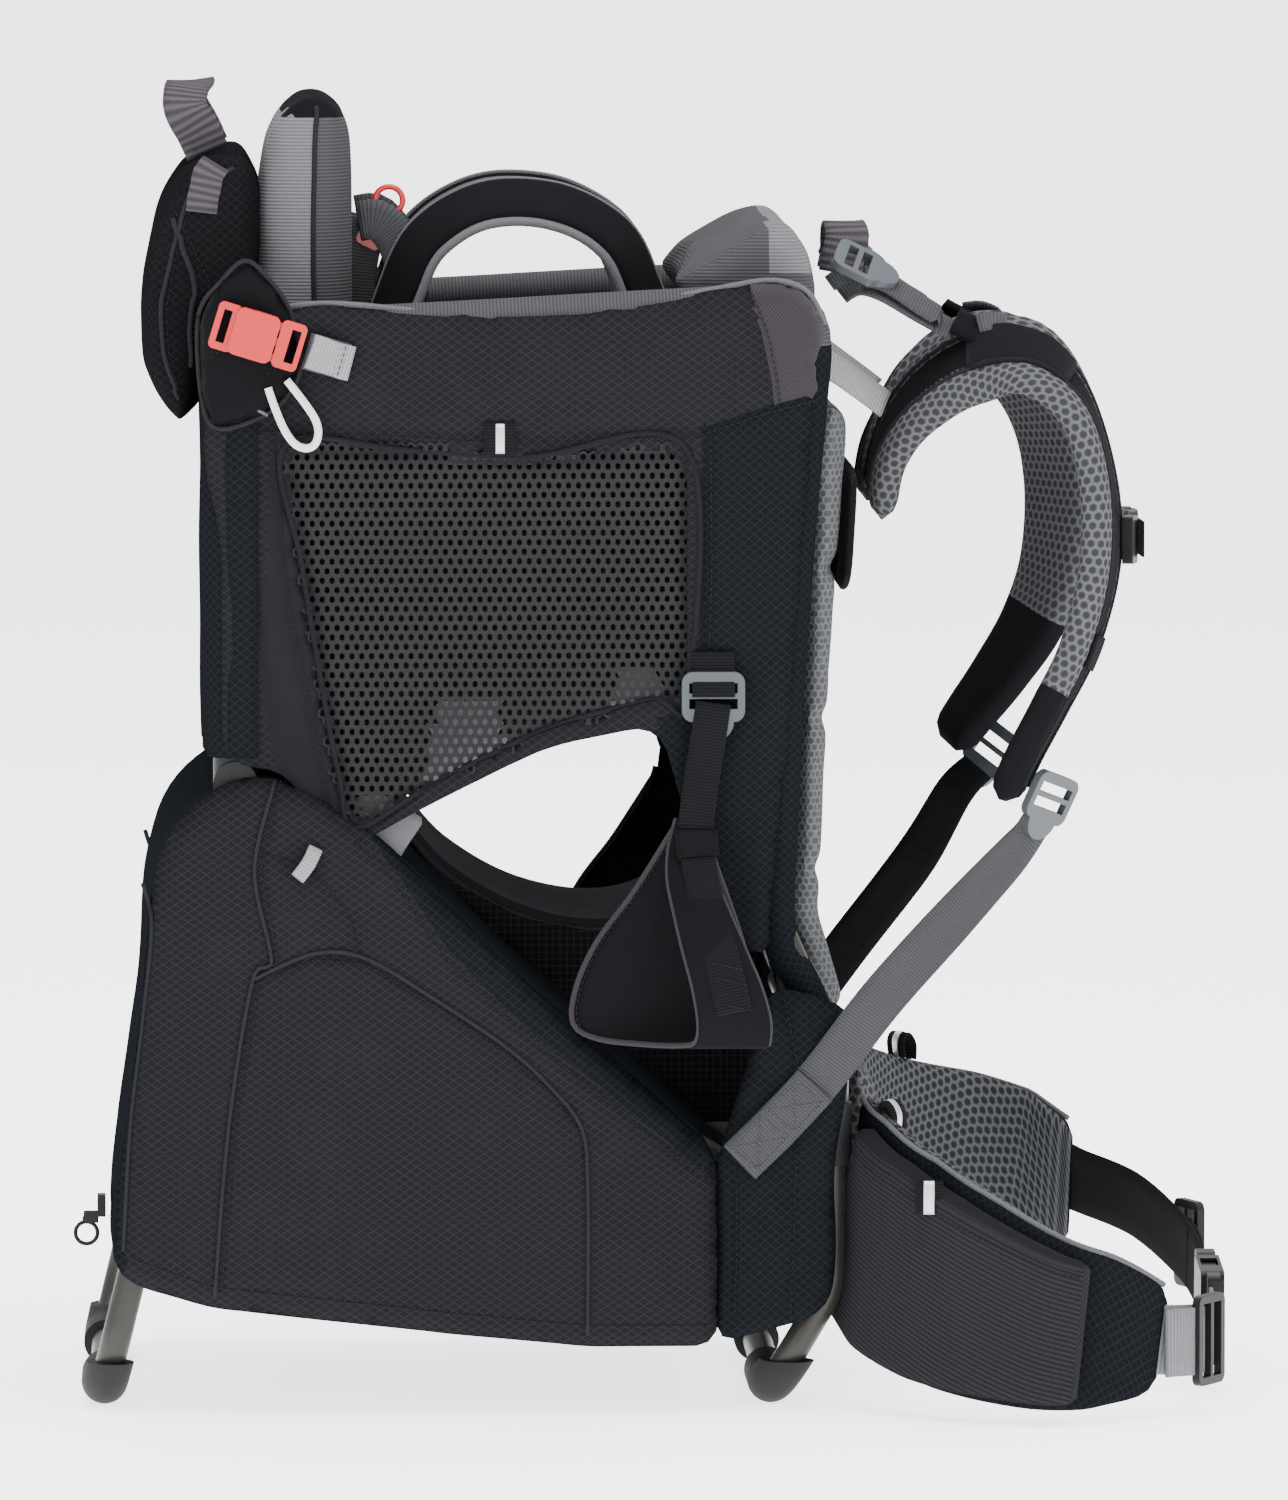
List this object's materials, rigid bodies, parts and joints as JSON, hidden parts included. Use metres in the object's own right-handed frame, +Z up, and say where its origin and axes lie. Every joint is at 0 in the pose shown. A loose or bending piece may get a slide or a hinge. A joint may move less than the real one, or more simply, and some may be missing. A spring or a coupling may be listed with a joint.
{
  "type": "baby carrier backpack",
  "caption": "Framed child carrier backpack with a padded cockpit, folding kickstand, lower storage compartment, stirrups, shoulder straps and hip belt.",
  "frame": {"origin": "on the ground under the middle of the whole carrier, standing on its front foot and kickstand", "axes": "+Z up, +X towards the wearer's front (shoulder straps and hip belt), +Y to the wearer's left"},
  "size_m": [0.6291, 0.4261, 0.7151],
  "materials": {
    "frame_tube": "dark olive grey satin powder coat on aluminium tube",
    "hardware_plastic": "blue grey moulded acetal",
    "hub_plastic": "black glass filled nylon",
    "black_plastic": "black moulded acetal, semi gloss",
    "red_plastic": "red moulded acetal, semi gloss",
    "steel": "plated steel",
    "rubber": "soft black rubber",
    "sheet": "black polyethylene framesheet",
    "shell_cloth": "charcoal ripstop nylon with a fine diamond grid",
    "inner_cloth": "black square ripstop nylon",
    "pad_cloth": "mid grey fine ribbed knit over foam",
    "strap_cloth": "black stretch cloth and grey spacer mesh over foam",
    "belt_cloth": "charcoal ribbed stretch cloth",
    "saddle_cloth": "dark grey brushed cloth over foam",
    "black_webbing": "black woven nylon webbing",
    "grey_webbing": "grey woven nylon webbing",
    "white_cord": "white flat cord"
  },
  "bodies": {
    "carrier": {"back_pad": "strap_cloth", "back_plate": "sheet", "chest_buckle_female": "black_plastic", "chest_webbing": "black_webbing", "cockpit_rear": "shell_cloth", "cockpit_side_left": "shell_cloth", "cockpit_side_right": "shell_cloth", "drool_pad": "pad_cloth", "frame_side_left": "frame_tube", "frame_side_right": "frame_tube", "frame_struts": "frame_tube", "front_flaps": "inner_cloth", "front_foot_pads": "rubber", "front_foot_tube": "frame_tube", "grab_handles": "grey_webbing", "halo_straps": "saddle_cloth", "harness_clip": "red_plastic", "harness_webbing": "grey_webbing", "headrest_pad": "pad_cloth", "hip_belt_hardware": "black_plastic", "hip_pockets": "belt_cloth", "hip_webbing": "grey_webbing", "hip_wing_left": "strap_cloth", "hip_wing_right": "strap_cloth", "lock_springs": "steel", "lower_bag_floor": "shell_cloth", "lower_bag_side_left": "shell_cloth", "lower_bag_side_right": "shell_cloth", "lower_bag_tops": "inner_cloth", "lumbar_pad": "strap_cloth", "pivot_hubs": "hub_plastic", "pivot_pins": "steel", "pull_cords": "white_cord", "seat_saddle": "saddle_cloth", "side_clip_females": "red_plastic", "side_clip_webbing": "grey_webbing", "sunshade_pocket": "inner_cloth", "tube_sleeves": "hub_plastic", "webbing_adjusters": "hardware_plastic"},
    "kickstand": {"kickstand_tube": "frame_tube", "kickstand_foot_pads": "rubber", "lower_bag_rear": "shell_cloth", "zip_slider": "black_plastic"},
    "zip_ring": {"zip_ring": "black_plastic"},
    "lock_button_left": {"lock_button_left": "red_plastic"},
    "lock_button_right": {"lock_button_right": "red_plastic"},
    "side_clip_left": {"side_clip_male_left": "red_plastic"},
    "side_clip_right": {"side_clip_male_right": "red_plastic"},
    "hip_buckle": {"hip_buckle_male": "black_plastic"},
    "harness": {"harness_yoke": "inner_cloth", "shoulder_strap_left": "strap_cloth", "shoulder_strap_right": "strap_cloth", "strap_ladder_locks": "hardware_plastic"},
    "sternum_strap": {"sternum_sliders": "black_plastic", "sternum_buckle_female": "black_plastic", "sternum_webbing": "black_webbing"},
    "sternum_buckle": {"sternum_buckle_male": "black_plastic"},
    "chest_buckle": {"chest_buckle_male": "black_plastic"},
    "stirrup_left": {"stirrup_left": "inner_cloth"},
    "stirrup_right": {"stirrup_right": "inner_cloth"}
  },
  "joints": [
    {"name": "kickstand_fold", "type": "hinge", "parent": "carrier", "child": "kickstand", "pos_m": [-0.226, 0, 0.305], "axis": [0, -1, 0], "range_deg": [0, 35]},
    {"name": "zip_ring_swing", "type": "hinge", "parent": "kickstand", "child": "zip_ring", "pos_m": [-0.3075, -0.094, 0.1008], "axis": [0, 1, 0], "range_deg": [0, 60]},
    {"name": "lock_button_left_press", "type": "slide", "parent": "carrier", "child": "lock_button_left", "axis": [0, -1, 0], "range_m": [0, 0.004], "stiffness_N_per_m": 500, "springref_m": -0.003, "deforming": ["lock_springs"]},
    {"name": "lock_button_right_press", "type": "slide", "parent": "carrier", "child": "lock_button_right", "axis": [0, 1, 0], "range_m": [0, 0.004], "stiffness_N_per_m": 500, "springref_m": -0.003, "deforming": ["lock_springs"]},
    {"name": "side_clip_left_release", "type": "slide", "parent": "carrier", "child": "side_clip_left", "axis": [0.9564, 0, -0.2921], "range_m": [0, 0.018], "deforming": ["side_clip_webbing"]},
    {"name": "side_clip_right_release", "type": "slide", "parent": "carrier", "child": "side_clip_right", "axis": [0.9564, 0, -0.2921], "range_m": [0, 0.018], "deforming": ["side_clip_webbing"]},
    {"name": "hip_buckle_release", "type": "slide", "parent": "carrier", "child": "hip_buckle", "axis": [0, 0.995, 0.0995], "range_m": [0, 0.034], "deforming": ["hip_webbing"]},
    {"name": "torso_adjust", "type": "slide", "parent": "carrier", "child": "harness", "axis": [0, 0, 1], "range_m": [-0.03, 0.02], "deforming": ["harness_webbing"]},
    {"name": "sternum_height", "type": "slide", "parent": "harness", "child": "sternum_strap", "axis": [0, 0, 1], "range_m": [-0.015, 0.015]},
    {"name": "sternum_buckle_release", "type": "slide", "parent": "sternum_strap", "child": "sternum_buckle", "axis": [-0.0416, 0.9991, 0], "range_m": [0, 0.016], "deforming": ["sternum_webbing"]},
    {"name": "chest_buckle_release", "type": "slide", "parent": "carrier", "child": "chest_buckle", "axis": [0, 1, 0], "range_m": [0, 0.014], "deforming": ["chest_webbing"]},
    {"name": "stirrup_left_swing", "type": "hinge", "parent": "carrier", "child": "stirrup_left", "pos_m": [0.031, 0.158, 0.376], "axis": [0, 1, 0], "range_deg": [-15, 15]},
    {"name": "stirrup_right_swing", "type": "hinge", "parent": "carrier", "child": "stirrup_right", "pos_m": [0.031, -0.158, 0.376], "axis": [0, 1, 0], "range_deg": [-15, 15]}
  ]
}
